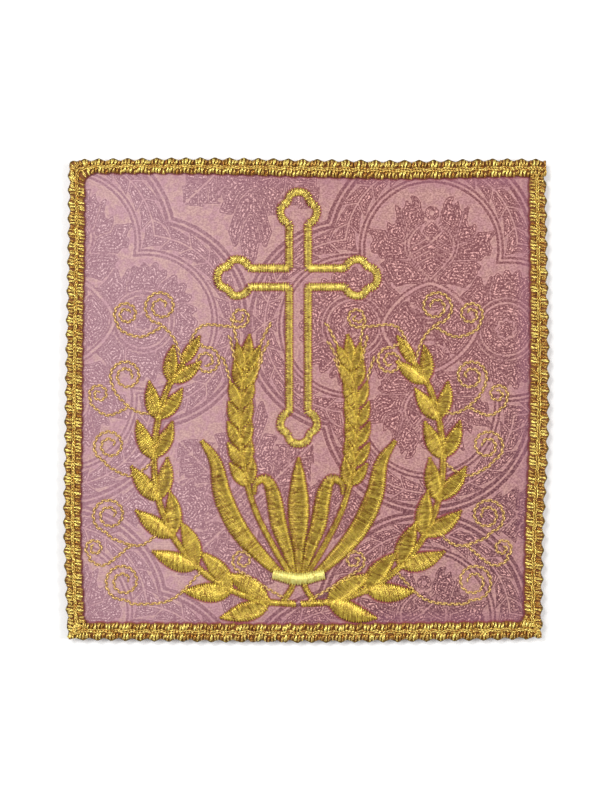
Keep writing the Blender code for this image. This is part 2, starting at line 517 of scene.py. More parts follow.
def ogee(x, y, field):
    """Ogee in the middle of the quatrefoil, with its four lobes."""
    outline = rounded_diamond(x, y, *OGEE_HALF, OGEE_POWER)
    field = cut(field, outline + 1.3)
    for cx, cy, half_x, half_y in OGEE_LOBES:
        lobe = rounded_diamond(x - cx, y - cy, half_x, half_y, OGEE_LOBE_POWER)
        field = over(field, np.minimum(lobe, outline - OGEE_INSET), 0.44)
    lines = edge_lines(x, np.abs(y), OGEE_LATTICE)
    field = cut(field, np.minimum(0.24 - np.abs(lines - 0.75), outline - OGEE_INSET))
    return np.maximum(field, 0.36 - np.abs(np.abs(outline) - 0.8))


def folded(value, half_repeat):
    """Place within half a repeat, mirrored at both ends."""
    return np.abs(value - 2 * half_repeat * np.round(value / (2 * half_repeat)))


def between(x, y, field):
    """Sprigs, leaves and trellis in the space between four quatrefoils, from its middle."""
    side = np.abs(x)
    down = np.abs(y)
    field = over(field, toothed_leaf((side - down) * HALF_ROOT, (side + down) * HALF_ROOT, *SLANTED_LEAF))
    field = leaves_over(field, side, y, SPRIG_LEAVES, SPRIG_SWELL)
    field = over(field, toothed_leaf(y, side, *LEVEL_LEAF))
    field = leaves_over(field, side, y, map(whole_leaf, STAR_LEAVES), SPRIG_SWELL)
    outline = rounded_diamond(x, y, *TRELLIS_HALF, TRELLIS_POWER)
    bars = np.minimum(folded(x + y, TRELLIS_PITCH / 2), folded(x - y, TRELLIS_PITCH / 2))
    trellis = np.minimum(bars * 0.7 - 0.2, outline)
    return np.maximum(np.minimum(field, -0.4 - outline), trellis)


def damask(x, y):
    """Field of the figures, distance from a lobe's centre, and angle round it, at some places."""
    u, v = turned(x - DAMASK_ORIGIN[0], y - DAMASK_ORIGIN[1], -DAMASK_TILT)
    u = folded(u, DAMASK_HALF_REPEAT[0])
    v = folded(v, DAMASK_HALF_REPEAT[1])
    radius, turn = lobe_place(u, v)
    field = np.full(x.shape, DAMASK_GROUND)
    field = between(u - DAMASK_HALF_REPEAT[0], v - DAMASK_HALF_REPEAT[1], field)
    field = cut(field, RING_LINES[-1][0] + RING_MARGIN - radius)
    field = palmette(u, v - LOBE_OUT, field)
    field = side_lobe(u, v, field)
    return ogee(u, v, field), radius, turn


# Panel

# A fine mesh on its face, a coarse one underneath, and a rounded edge between them.
PANEL_CELLS = 282
PANEL_COARSE = 3
PANEL_EDGE_ROUND = 0.5
PANEL_CORNER = 2.5
PANEL_HALF = 78.8
RIM_STEPS = 3
UNDER_INSET = 1.0

# Heights between which the CAD panel's sides are upright, and the depth and end of a side's points.
SIDE_HEIGHTS = (0.4, 1.8)
SIDE_DEPTH = 4.0
SIDE_END = 1.8

# Where the cloth is sewn it's drawn down: depth, reach, and the two distances and strength of the painted
# shade beside the seam.
SEAM_DEPTH = 0.14
SEAM_REACH = 0.7
SEAM_PAINTED_SHADE = (0.15, 0.72, 0.85)


def node_outline(node, low, high):
    """Points of a CAD node between two heights, in millimetres, in order round the middle."""
    points = np.array([vertex.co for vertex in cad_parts[node].data.vertices]) / MM
    points = points[(points[:, 2] > low) & (points[:, 2] < high)][:, :2]
    points = np.unique(np.round(points, 4), axis=0)
    return points[np.argsort(np.arctan2(points[:, 1], points[:, 0]))]


def side_curve(outline, axis, sign):
    """Place across the panel of one of its sides, for a place along it."""
    other = 1 - axis
    furthest = np.abs(outline[:, axis]).max()
    keep = outline[outline[:, axis] * sign > furthest - SIDE_DEPTH]
    keep = keep[np.abs(keep[:, other]) < furthest - SIDE_END]
    order = np.argsort(keep[:, other])
    return lambda along: np.interp(along, keep[order, other], keep[order, axis])


def panel_place(s, t, inset):
    """Place on the panel from two shares from -1 to 1, its corners rounded."""
    outline = node_outline("panel", *SIDE_HEIGHTS)
    share = PANEL_CORNER / PANEL_HALF
    edge = 1 - share
    a = np.clip((np.abs(s) - edge) / share, 0, 1)
    b = np.clip((np.abs(t) - edge) / share, 0, 1)
    u = np.sign(s) * (np.minimum(np.abs(s), edge) + share * a * np.sqrt(1 - b * b / 2))
    v = np.sign(t) * (np.minimum(np.abs(t), edge) + share * b * np.sqrt(1 - a * a / 2))
    place = []
    for axis, across, along in ((0, u, v), (1, v, u)):
        high = side_curve(outline, axis, 1)(along * PANEL_HALF) - inset
        low = side_curve(outline, axis, -1)(along * PANEL_HALF) + inset
        place.append((high + low) / 2 + across * (high - low) / 2)
    return place


def cloth_height(x, y):
    """Slight unevenness of the stiffened face: a long wave and a short one."""
    wave = 0.05 * np.sin(x / 17 + 0.6) * np.cos(y / 21 - 0.4)
    return wave + 0.03 * np.sin(x / 6.3 + y / 8.1)


def rim_profile(bottom, top):
    """Reach and height of each loop of points round the rounded edge, from the face down."""
    turns = np.linspace(0, math.pi / 2, RIM_STEPS + 1)[1:]
    upper = [(math.sin(turn), top - PANEL_EDGE_ROUND * (1 - math.cos(turn))) for turn in turns]
    lower = [(math.cos(turn), bottom + PANEL_EDGE_ROUND * (1 - math.sin(turn))) for turn in turns]
    return [*upper, (1.0, bottom + PANEL_EDGE_ROUND), *lower]


def under_edge(outer, inner):
    """Faces from the fine loop of points to the coarse one underneath.

    One triangle in four ends a point too early, so each coarse cell has a thin gap here.
    """
    outer = outer.reshape(-1, PANEL_COARSE)
    outer = np.column_stack((outer, np.roll(outer[:, 0], -1)))
    following = np.roll(inner, -1)
    faces = []
    for step in range(PANEL_COARSE):
        near = inner if step < PANEL_COARSE / 2 else following
        faces.append(np.stack((outer[:, step], near, outer[:, step + 1]), axis=-1))
        if step == PANEL_COARSE // 2:
            faces.append(np.stack((inner, following, outer[:, step]), axis=-1))
    return faces


def panel_mesh():
    """Points and faces of the panel: its face, its rounded edge and its underside."""
    low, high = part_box("panel")
    bottom, top = low.z / MM, high.z / MM
    shares = np.linspace(-1, 1, PANEL_CELLS + 1)
    s, t = np.meshgrid(shares, shares)
    x, y = panel_place(s, t, PANEL_EDGE_ROUND)
    points = [grid_points(x, y, top + cloth_height(x, y))]
    count = x.size
    numbers = np.arange(count).reshape(x.shape)
    faces = [grid_faces(numbers, True)]
    above = grid_loop(numbers)
    start = points[0][above]
    ahead = unit(np.roll(start, -1, axis=0) - np.roll(start, 1, axis=0))
    out = unit(np.cross(ahead, UP)) * PANEL_EDGE_ROUND
    for reach, height in rim_profile(bottom, top):
        ring = start + out * reach
        ring[:, 2] = height
        points.append(ring)
        below = count + np.arange(len(ring))
        faces.append(loop_faces(below, above))
        count += len(ring)
        above = below
    every = slice(None, None, PANEL_COARSE)
    x, y = panel_place(s[every, every], t[every, every], PANEL_EDGE_ROUND + UNDER_INSET)
    points.append(grid_points(x, y, bottom))
    numbers = count + np.arange(x.size).reshape(x.shape)
    faces.append(grid_faces(numbers, False))
    return np.concatenate(points), faces + under_edge(above, grid_loop(numbers))


# Bands between the rings: their middle and half width, and their leaves, with a vein between them.
BAND_MIDDLE = 28.6
BAND_HALF = 3.7
BAND_PITCH = 7.4
BAND_LEAN = 2.8
BAND_TOOTH = 1.7
BAND_VEIN = 0.26
BAND_START = 20.0

# Floats lie in rows, which wander, and noise makes grains of them and breaks them.
FLOAT_PITCH = 0.95
FLOAT_WANDER = 7.0
FLOAT_GRAIN = 7.0
FLOAT_ROWS = 1.1

# Noise in the cloth: cells per millimetre, detail and roughness.
WANDER_NOISE = (0.35, 1.0)
GRAIN_NOISE = (1.95, 1.0)
BREAK_NOISE = (2.5, 0.0)
FINE_NOISE = ((1.5, 1.9, 1.0), 2.0, 0.7)
CLOUD_NOISE = (0.3, 3.0, 0.7)

# Colours of the cloth at its left and at its right. The left is paler and lower in contrast: partly painted
# sheen, partly the cloth's own uneven colour.
GROUND = (colour(189, 152, 146), colour(184, 139, 132))
LILAC = (colour(179, 137, 146), colour(176, 128, 130))
DARK = (colour(136, 94, 106), colour(100, 43, 51))
LIGHT = (colour(209, 170, 174), colour(218, 162, 157))

# Painted shade that lies over these colours: toward the lower right, along the pall's rim and beside its
# seams.
DARK_FIGURE_SHADE = colour(80, 24, 40)
PAINTED_SHADE_LOWER_RIGHT = colour(104, 62, 66)
PAINTED_SHADE_RIM = colour(140, 86, 108)
PAINTED_SHADE_SEAM = colour(134, 44, 52)

# Where the painted sheen and the painted shade change, in millimetres, and for two of them the strengths
# there.
SHEEN_LEFT_TO_RIGHT = (-60, 20)
DARK_FIGURE_SHADE_RANGE = (20, 110)
LOWER_RIGHT_SHADE_RANGE = (60, 140, 0.0, 0.08)
RIM_SHADE_RANGE = (68, 73)
RIM_SHADE_STRENGTH = (-60, 60, 0.1, 0.38)


def band_leaves(g, radius, turn):
    """Signed distance inside the slanted leaves of the bands."""
    away = abs(radius - BAND_MIDDLE)
    row = turn * (BAND_MIDDLE / BAND_PITCH) - away * (BAND_LEAN / BAND_HALF / BAND_PITCH)
    share = g.math("FRACT", row + BAND_START)
    leaf = g.math("MINIMUM", share, 1.0 - share) * (BAND_PITCH * 0.8) - 0.2
    edge = share * BAND_TOOTH + (BAND_HALF - 1.0) - away
    return g.math("MINIMUM", g.math("MINIMUM", leaf, edge), away - BAND_VEIN)


def light_floats(g, figure, grain):
    """Share of each place in a figure that light floats cover."""
    wander = g.noise(*WANDER_NOISE)
    rows = g.math("COSINE", figure * (math.tau / FLOAT_PITCH) + wander * FLOAT_WANDER)
    mixed = (grain - 0.5) * FLOAT_GRAIN + rows * FLOAT_ROWS
    breaks = g.ramp(g.noise(*BREAK_NOISE), 0.4, 0.54)
    return g.ramp(mixed, 0.0, 0.9) * g.ramp(figure, 0.3, 0.5) * breaks


def cloth_colour(g, figure, inside, floats, fine):
    """Colour of the ground and of the figures, paler to the left: partly painted sheen, partly uneven colour.
    Painted shade deepens the figures toward the lower right.
    """
    x = g.coordinate("X")
    low = x - g.coordinate("Y")
    # Painted sheen with some uneven colour: paler and lower in contrast to the left.
    right = g.ramp(x, *SHEEN_LEFT_TO_RIGHT)
    cloud = g.ramp(g.noise(*CLOUD_NOISE), 0.4, 0.62)
    ground = g.mix(cloud, g.mix(right, *GROUND), g.mix(right, *LILAC))
    # Painted shade: the dark of the figures deepens toward the lower right.
    dark = g.mix(g.ramp(low, *DARK_FIGURE_SHADE_RANGE), g.mix(right, *DARK), DARK_FIGURE_SHADE)
    light = g.mix(right, *LIGHT)
    ground = g.mix(g.ramp(fine, 0.36, 0.64, 0.55, 0.0), ground, dark)
    ground = g.mix(g.ramp(figure, -0.5, -0.2, 0.0, 0.18), ground, light)
    fill = g.mix(floats, dark, light)
    fill = g.mix(g.ramp(fine, 0.42, 0.66, 0.0, 0.3), fill, light)
    return g.mix(inside, ground, fill)


def with_painted_shade(g, base):
    """Colour of the cloth, with painted shade: deeper along its rim, at its lower right and beside its seams.
    """
    x = g.coordinate("X")
    y = g.coordinate("Y")
    # Painted shade along the rim where the cloth curves down, stronger toward the right.
    rim_shade = g.ramp(g.math("MAXIMUM", abs(x), abs(y)), *RIM_SHADE_RANGE)
    base = g.mix(g.ramp(x, *RIM_SHADE_STRENGTH) * rim_shade, base, PAINTED_SHADE_RIM)
    # Painted shade toward the lower right corner.
    base = g.mix(g.ramp(x - y, *LOWER_RIGHT_SHADE_RANGE), base, PAINTED_SHADE_LOWER_RIGHT)
    # Painted contact shade on the cloth beside the satin and the braid's inner edge.
    near, far, strength = SEAM_PAINTED_SHADE
    return g.mix(g.ramp(g.value("seam"), near, far, strength, 0.0), base, PAINTED_SHADE_SEAM)


def damask_material():
    """Rose damask: satin ground, and figures in rows of short floats."""
    g = Graph("rose_damask")
    radius = g.value("lobe_radius")
    figure = g.math("MAXIMUM", g.value("figure"), band_leaves(g, radius, g.value("lobe_turn")))
    grain = g.noise(*GRAIN_NOISE)
    floats = light_floats(g, figure, grain)
    for middle, half in RING_LINES:
        figure = g.math("MAXIMUM", figure, half - abs(radius - middle))
    inside = g.ramp((grain - 0.5) * 0.6 + figure, -0.12, 0.12)
    fine = g.noise(*FINE_NOISE)
    base = with_painted_shade(g, cloth_colour(g, figure, inside, floats, fine))
    g.bump(floats * inside + fine * 0.5, 0.08)
    return g.finish(Base_Color=base, Roughness=0.62, Sheen_Weight=0.15)


def build_panel(seams):
    """Panel with the damask's field on its points, drawn down a little where it is sewn."""
    points, faces = panel_mesh()
    tree = KDTree(len(seams))
    for number, (x, y) in enumerate(seams):
        tree.insert((x, y, 0.0), number)
    tree.balance()
    seam = np.array([tree.find((x, y, 0.0))[2] for x, y in points[:, :2]])
    top = points[:, 2] > CLOTH_TOP - 0.2
    points[:, 2] -= np.where(top, SEAM_DEPTH * np.exp(-(seam / SEAM_REACH) ** 2), 0.0)
    piece = mesh_piece("damask_panel", points, faces, "rose_damask", damask_material())
    fields = (*damask(points[:, 0], points[:, 1]), seam)
    for name, field in zip(("figure", "lobe_radius", "lobe_turn", "seam"), fields):
        add_values(piece, name, field)
    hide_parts("panel")
    return piece


# Gold thread

def gold_material(name, low, high, rough, metal, grain):
    """Metallic yarn with a fine uneven wrap, between two colours."""
    g = Graph(name)
    wrap = g.noise(grain, 2.0, 0.6)
    share = g.ramp(wrap, 0.3, 0.7) * 0.7 + g.noise(0.25) * 0.3
    g.bump(wrap, 0.05)
    return g.finish(Base_Color=g.mix(share, low, high), Roughness=rough, Metallic=metal)


def yarn_material(name, low, high, rough, metal, grain, spots):
    """Metallic yarn, each thread its own tone between two colours, with a fine wrap and spots; on satin and
    braid the tone also holds painted highlights and shade.
    """
    g = Graph(name)
    wrap = g.noise(grain, 2.0, 0.6)
    speck = g.noise(0.9, 1.0)
    share = g.value("tone") * (0.8 - spots) + g.ramp(wrap, 0.35, 0.65) * 0.2
    share = share + g.ramp(speck, 0.35, 0.65) * spots
    g.bump(wrap, 0.06)
    return g.finish(Base_Color=g.mix(share, low, high), Roughness=rough, Metallic=metal)


# Embroidery

# Satin stitches: their spacing, thread and rings of points, the teeth of their edges, and their least
# half width. They rise from just under the cloth's face, and higher over a wide stroke.
SATIN_STEP = 0.4
SATIN_RADIUS = 0.21
SATIN_RINGS = 9
SATIN_SIDES = 4
SATIN_TEETH = 0.34
SATIN_LEAST = 0.35
SATIN_SUNK = 0.1
SATIN_LIFT = 0.42
SATIN_RISE = 0.12
SATIN_WIDE = 2.6
SATIN_ARCH = 2.2

# Their tones, with painted highlights: lighter where they stand upright, on their crowns, at their right ends
# and at the ends of longer ones.
SATIN_UPRIGHT_HIGHLIGHT = 0.2
SATIN_CROWN_HIGHLIGHT = 0.34
SATIN_RIGHT_HIGHLIGHT = 0.5
SATIN_LONGER_HIGHLIGHT = 0.5
SATIN_END_HIGHLIGHT = np.array((1.0, 1.0, 0.7))

# Running stitches: length, gap, radius, distance of each run from the line, and the hump's height.
RUN_STEP = 0.1
RUN_LENGTH = 1.7
RUN_GAP = 0.42
RUN_RADIUS = 0.31
RUN_ASIDE = 0.24
RUN_HUMP = 0.26
RUN_SUNK = 0.06
RUN_RINGS = 6


def satin(line, slant, raised):
    """Satin stitches side by side across a line whose third column is its half width."""
    rows = at_equal_steps(line, SATIN_STEP)
    count = len(rows)
    across = np.column_stack(turned(*left_of(rows).T, slant))
    half = np.maximum(rows[:, 2], SATIN_LEAST) + rng.normal(0, 0.07, count)
    half += SATIN_TEETH * (np.arange(count) % 2 - 0.5)
    q = -np.cos(np.linspace(0, math.pi, SATIN_RINGS))
    paths = np.zeros((count, SATIN_RINGS, 3))
    paths[..., :2] = rows[:, None, :2] + across[:, None] * (half[:, None] * q)[..., None]
    lift = SATIN_LIFT + SATIN_RISE * np.minimum(half, SATIN_WIDE) + rng.normal(0, 0.035, count)
    arch = (1 - np.abs(q) ** SATIN_ARCH) ** (1 / SATIN_ARCH)
    paths[..., 2] = CLOTH_TOP - SATIN_SUNK + (lift[:, None] + raised) * arch
    return threads(paths, SATIN_RADIUS, SATIN_SIDES)


def satin_piece(name, stitches, material, level, mottle):
    """Piece of satin stitches in groups of like tone, with painted highlights, lightest where they turn down
    to the right.
    """
    piece = mesh_piece(name, *stitches, "gold_braid", material)
    rings = stitches[0].reshape(-1, SATIN_RINGS, SATIN_SIDES, 3).mean(axis=2)
    count = len(rings)
    span = rings[:, -1] - rings[:, 0]
    right, upright, _ = unit(span).T
    reach = np.linalg.norm(span, axis=1)
    # Painted highlights on the ends of longer stitches, on upright stitches and on the crowns.
    longer_highlight = np.where(reach > (np.roll(reach, 1) + np.roll(reach, -1)) / 2, SATIN_LONGER_HIGHLIGHT, 0.0)
    whole = np.repeat(rng.normal(0, mottle / 2, count // 2 + 1), 2)[:count]
    whole += rng.normal(0, 0.1, count) + SATIN_UPRIGHT_HIGHLIGHT * np.abs(upright) ** 2
    crown_highlight = 0.5 - np.cos(np.linspace(0, math.pi, SATIN_RINGS)) ** 2
    parts = rng.normal(level, mottle, (count, SATIN_RINGS)) + whole[:, None] + SATIN_CROWN_HIGHLIGHT * crown_highlight
    # Painted highlight at the ends, most where a stitch turns down to the right.
    parts[:, :3] += (longer_highlight + 0.1 - SATIN_RIGHT_HIGHLIGHT * right)[:, None] * SATIN_END_HIGHLIGHT
    parts[:, -3:] += (longer_highlight + 0.1 + SATIN_RIGHT_HIGHLIGHT * right)[:, None] * SATIN_END_HIGHLIGHT[::-1]
    add_values(piece, "tone", np.repeat(np.clip(parts, 0, 1).ravel(), SATIN_SIDES))
    return piece


def satin_edges(line):
    """Places along both edges of a line of satin stitches."""
    rows = at_equal_steps(line, SATIN_STEP)
    aside = left_of(rows) * rows[:, 2:3]
    return [rows[:, :2] + aside, rows[:, :2] - aside]


def running(line):
    """Double run of short stitches along a line, each one humped between its two holes."""
    fine = at_equal_steps(line, RUN_STEP)
    length = np.arange(len(fine)) * RUN_STEP
    share = np.linspace(0, 1, RUN_RINGS)
    hump = np.sin(math.pi * share) ** 0.6
    parts = []
    for side, phase in ((-RUN_ASIDE, 0.0), (RUN_ASIDE, 0.5)):
        shifted = fine[:, :2] + side * left_of(fine)
        starts = np.arange(phase * RUN_LENGTH, length[-1] - RUN_LENGTH * 0.6, RUN_LENGTH + RUN_GAP)
        where = starts[:, None] + share * RUN_LENGTH
        where = where + rng.normal(0, 0.06, (len(starts), 1))
        paths = np.zeros((*where.shape, 3))
        paths[..., :2] = points_at(shifted, length, where)
        paths[..., 2] = CLOTH_TOP - RUN_SUNK + RUN_HUMP * hump
        parts.append(threads(paths, RUN_RADIUS * (0.55 + 0.45 * hump)[None]))
    return joined(parts)


# Cross: its middle and its right, upper, left and lower tip in the photo, half width between the middles
# of its outline, and one budded end as distances back from its tip and out from its axis.
CROSS_PIXEL = (298.5, 277.5)
CROSS_TIPS = (377.5, 191.5, 217, 444)
CROSS_X, CROSS_Y = from_pixel(*CROSS_PIXEL)
CROSS_HALF = 9.4 * MM_PER_PIXEL
CROSS_LINE = 1.1
CROSS_SPACING = 8
CROSS_END = ((10.8, 3.1), (10.3, 4.1), (9.0, 5.4), (6.8, 6.1), (4.8, 5.7), (4.1, 4.4), (3.1, 3.5), (1.7, 3.2),
             (0.5, 2.1), (0.0, 0.0))


def cross_line():
    """Outline of the cross, with budded ends, as one closed line."""
    points = []
    for quarter, tip in enumerate(CROSS_TIPS):
        reach = abs(tip - CROSS_PIXEL[quarter % 2]) * MM_PER_PIXEL
        straight = reach - CROSS_END[0][0] - CROSS_HALF
        count = max(1, round(straight / CROSS_SPACING))
        outward = [0.15, 2.0, *(straight * (k + 0.5) / count for k in range(count))]
        half = [(CROSS_HALF + x, -CROSS_HALF) for x in outward]
        half += [(reach - back, -out) for back, out in CROSS_END]
        for x, y in half + [(x, -y) for x, y in reversed(half[:-1])]:
            x, y = turned(x, y, 90 * quarter)
            points.append((CROSS_X + x, CROSS_Y + y, CROSS_LINE))
    return smooth_line(points, closed=True, fine=8)


# Ornament round the cross's foot, as places right of its axis and up from the pall's middle.
STEM = ((1.0, -67.5), (14.0, -66.0), (29.0, -59.0), (41.0, -46.0), (47.0, -30.0), (47.5, -13.0), (44.0, 2.5),
        (38.5, 12.0))
STEM_HALF = 0.9

# Its leaves: pairs, where the first and last sit as shares of the stem, size, lean, bend, and how much
# smaller the last ones are. The one at the end has its own length and half width.
LEAF_PAIRS = 8
LEAF_SPAN = (0.08, 0.94)
LEAF_LENGTH = 16.5
LEAF_HALF = 3.3
LEAF_LEAN = 36
LEAF_BEND = 0.18
LEAF_SHRINK = 0.28
END_LEAF = (11.0, 2.0)

# Wheat: its stalk, where its ear starts and ends as shares of the stalk, and its pairs of grains.
STALK = ((5.0, -66.5), (2.0, -60.0), (7.5, -50.0), (14.5, -36.0), (18.5, -20.0), (19.2, -3.0), (17.6, 11.0))
STALK_HALF = 0.8
EAR = (0.52, 0.99)
GRAIN_PAIRS = 7
GRAIN_LENGTH = 9.4
GRAIN_HALF = 1.95
GRAIN_LEAN = 31
GRAIN_BEND = 0.12
AWN_LENGTH = 8.5
AWN_LEAN = 14
AWN_BEND = 0.1


def leaf_line(base, direction, length, half, bend):
    """Middle line of a leaf with its half widths, curving to one side."""
    t = np.linspace(0, 1, 18)
    x, y = turned(length * t, bend * length * t ** 2, direction)
    width = half * np.sin(math.pi * np.clip(t, 0.03, 0.985) ** 0.8) ** 0.85
    return np.column_stack((base[0] + x, base[1] + y, width))


def heading(rows, place):
    """Direction of a line at one of its points, in degrees."""
    ahead = rows[min(place + 1, len(rows) - 1)] - rows[max(place - 1, 0)]
    return math.degrees(math.atan2(ahead[1], ahead[0]))


def buds(rows, first, last, count):
    """Where leaves grow between two shares of a stem: shares from 0 to 1, points and headings."""
    for share in np.linspace(0, 1, count):
        place = round((len(rows) - 1) * (first + (last - first) * share))
        yield share, rows[place], heading(rows, place)


def wreath_lines():
    """Satin lines of the right half of the wreath: its stem and its leaves."""
    stem = smooth_line([(x, y, STEM_HALF) for x, y in STEM])
    rows = at_equal_steps(stem, 1.0)
    lines = [stem]
    for share, base, ahead in buds(rows, *LEAF_SPAN, LEAF_PAIRS):
        size = 1.0 - LEAF_SHRINK * share
        for side in (-1, 1):
            lines.append(leaf_line(base, ahead + side * LEAF_LEAN, LEAF_LENGTH * size, LEAF_HALF * size,
                                   -side * LEAF_BEND))
    lines.append(leaf_line(rows[-1], heading(rows, len(rows) - 2), *END_LEAF, 0.0))
    return lines


def wheat_lines():
    """Satin lines of the right ear of wheat, and the lines of the awns on its upper half."""
    stalk = smooth_line([(x, y, STALK_HALF) for x, y in STALK])
    rows = at_equal_steps(stalk, 0.5)
    lines = [stalk]
    awns = []
    for share, base, ahead in buds(rows, *EAR, GRAIN_PAIRS):
        for side in (-1, 1):
            grain = leaf_line(base, ahead + side * GRAIN_LEAN, GRAIN_LENGTH, GRAIN_HALF, -side * GRAIN_BEND)
            lines.append(grain)
            if share > 0.5:
                awn = leaf_line(grain[-1], ahead + side * AWN_LEAN, AWN_LENGTH, 1.0, side * AWN_BEND)
                awns.append(awn[:, :2])
    lines.append(leaf_line(rows[-1], ahead, GRAIN_LENGTH * 1.15, GRAIN_HALF, 0.0))
    return lines, awns


# Lily and blades between the ears: places with the half width there. The tie lies over them.
BLADE = ((3.0, -60.0, 0.6), (11.0, -53.0, 1.9), (19.4, -43.5, 2.9), (25.0, -32.0, 2.9), (27.5, -20.5, 1.9),
         (32.0, -13.5, 0.5))
LILY_SIDE = ((1.4, -57.5, 0.6), (3.6, -50.0, 1.7), (6.6, -41.0, 2.5), (8.2, -32.0, 2.3), (10.6, -26.2, 1.5),
             (14.2, -27.4, 0.9), (14.6, -31.0, 0.4))
LILY_MIDDLE = ((0.0, -58.0, 0.6), (0.0, -50.0, 1.6), (0.0, -38.0, 3.4), (0.0, -28.0, 2.6), (0.0, -19.0, 0.4))
TIE = ((-8.4, -57.6, 1.6), (0.0, -59.2, 2.0), (8.4, -57.6, 1.6))

# Slants of the stitches, in degrees, and how much higher than the wreath each part lies.
WREATH_SLANT = 14
EAR_SLANT = 10
EAR_RAISED = 0.05
BLADE_RAISED = 0.1
LILY_RAISED = (0.15, 0.2)
TIE_RAISED = 0.6

# Tendrils: points on the way, then the spiral's centre, radius, first angle and turns.
TENDRILS = (
    (((38.5, 12.0), (41.0, 20.0), (45.5, 25.0)), (45.5, 31.0), 5.6, -60, 1.7),
    (((46.0, -4.0), (53.0, -4.0), (59.5, 1.0)), (57.0, 8.0), 5.4, -20, 1.7),
    (((47.5, -20.0), (55.0, -25.0), (62.0, -22.5)), (62.5, -15.0), 5.6, -70, 1.7),
    (((43.5, -41.0), (52.0, -48.0), (61.0, -46.0)), (62.5, -38.0), 6.0, -80, 1.8),
    (((32.0, -56.5), (42.0, -66.0), (54.0, -67.5)), (58.0, -60.0), 6.4, -100, 1.8),
    (((38.5, 12.0), (36.5, 17.6), (32.0, 18.4)), (30.5, 13.0), 4.8, 75, 1.6),
    (((38.5, 12.0), (33.0, 24.0), (24.0, 24.5)), (19.5, 27.5), 3.4, -80, -1.4),
    (((55.0, -47.6), (64.0, -54.5), (69.0, -53.0)), (67.5, -49.0), 3.2, -60, 1.4),
    (((56.0, -2.2), (63.0, -5.0), (68.0, -2.0)), (66.0, 2.0), 3.4, -30, 1.4),
    (((45.0, 24.4), (52.0, 21.0), (58.5, 23.0)), (57.0, 28.5), 4.2, -40, 1.6),
    (((3.0, -66.5), (10.0, -62.5), (17.0, -58.0)), (18.5, -53.0), 3.6, -60, 1.4),
)
SPIRAL_SHRINK = 0.72


def tendril_line(way, centre, radius, first, turns):
    """Line of a tendril, along its way and round its spiral."""
    share = np.linspace(0, 1, max(6, round(abs(turns) * 10)))
    angle = np.radians(first) + share * turns * math.tau
    reach = radius * (1 - SPIRAL_SHRINK * share)
    spiral = np.column_stack((centre[0] + reach * np.cos(angle), centre[1] + reach * np.sin(angle)))
    return smooth_line(np.concatenate((way, spiral)), fine=6)


def mirrored(line):
    """Both the line right of the cross's axis and its mirror image."""
    return [np.column_stack((CROSS_X + sign * line[:, 0], line[:, 1:])) for sign in (1, -1)]


def strokes(lines, slant, raised):
    """Satin lines of both halves of the ornament, each with its slant and its lift."""
    return [(side, slant, raised) for line in lines for side in mirrored(line)]


def build_embroidery():
    """Cross, wreath, bouquet, tie and tendrils, and the places where satin ends."""
    lemon = yarn_material("satin_lemon", colour(108, 48, 0), colour(255, 232, 112), 0.22, 0.5, 3.0, 0.0)
    gold = yarn_material("satin_gold", colour(112, 56, 0), colour(255, 226, 96), 0.2, 0.6, 3.0, 0.16)
    # The tie's thread is a brighter copy of the gold, with a higher tone: a painted highlight.
    tie_highlight_gold = yarn_material("tie_gold_painted_highlight", colour(206, 168, 60), colour(255, 250, 150), 0.24, 0.5, 3.0, 0.0)
    ear, awns = wheat_lines()
    bouquet = strokes(ear, EAR_SLANT, EAR_RAISED)
    bouquet += strokes([smooth_line(BLADE)], 0, BLADE_RAISED)
    bouquet += strokes([smooth_line(LILY_SIDE)], 0, LILY_RAISED[0])
    bouquet += strokes([smooth_line(LILY_MIDDLE)], 0, LILY_RAISED[1])[:1]
    tie = strokes([smooth_line(TIE)], 0, TIE_RAISED)[:1]
    wreath = strokes(wreath_lines(), WREATH_SLANT, 0.0)
    # Columns: name, lines, material, and the mean and spread of the tones.
    parts = (("cross", [(cross_line(), 0, 0.0)], lemon, 0.38, 0.26),
             ("wreath", wreath, gold, 0.22, 0.24),
             ("bouquet", bouquet, gold, 0.22, 0.24),
             ("tie", tie, tie_highlight_gold, 0.56, 0.24))
    pieces = []
    edges = []
    for name, lines, material, level, mottle in parts:
        stitches = joined([satin(*line) for line in lines])
        pieces.append(satin_piece(name, stitches, material, level, mottle))
        for line in lines:
            edges += satin_edges(line[0])
    curls = [tendril_line(*tendril) for tendril in TENDRILS] + awns
    runs = joined([running(side) for line in curls for side in mirrored(line)])
    dashes = gold_material("run_gold", colour(150, 108, 52), colour(244, 208, 134), 0.32, 0.5, 1.6)
    pieces.append(mesh_piece("tendrils", *runs, "gold_braid", dashes))
    return pieces, edges


# Braid

WEFT_STEP = 0.4
SCALLOP_PITCH = 4.75
WRAP_PITCH = 1.2
WRAP_FAN = 0.14
WRAP_RINGS = 12
WRAP_SPREAD = 0.22
WRAP_RADIUS = 0.28
WRAP_TWIST = 5.0
WRAP_SIDES = 4
WRAP_HOLE = 0.12
WRAP_NICK = 0.04

# Middle cords: spacing and rings of points, their shares across the braid and the pitch of their twist,
# spread and radius of their plies, and height above the braid's lowest point, as for the edge thread.
CORD_STEP = 0.3
CORDS = ((0.445, 2.1), (0.555, -2.1))
CORD_SPREAD = 0.17
CORD_RADIUS = 0.2
CORD_SIDES = 5
CORD_HEIGHT = 0.56
EDGE_SHARE = 0.965
EDGE_HEIGHT = 0.2
BACKING_HEIGHT = 0.3
BACKING_SHARES = (0.06, 0.94)

# The braid starts under its own end: where its side runs free, and the steps that are tucked in.
# Its two halves lap over each other at the fold of each lower corner, and stop at this share of it.
BRAID_STARTS = 72.8
BRAID_TUCKED = 6
BRAID_LAP = 0.9
BRAID_FOLD_END = 0.96

# Upper left corner: how far in the middle of its curve lies, and the degrees between stations on it.
BRAID_CORNER = 9.9
BRAID_CORNER_STEP = 3.2

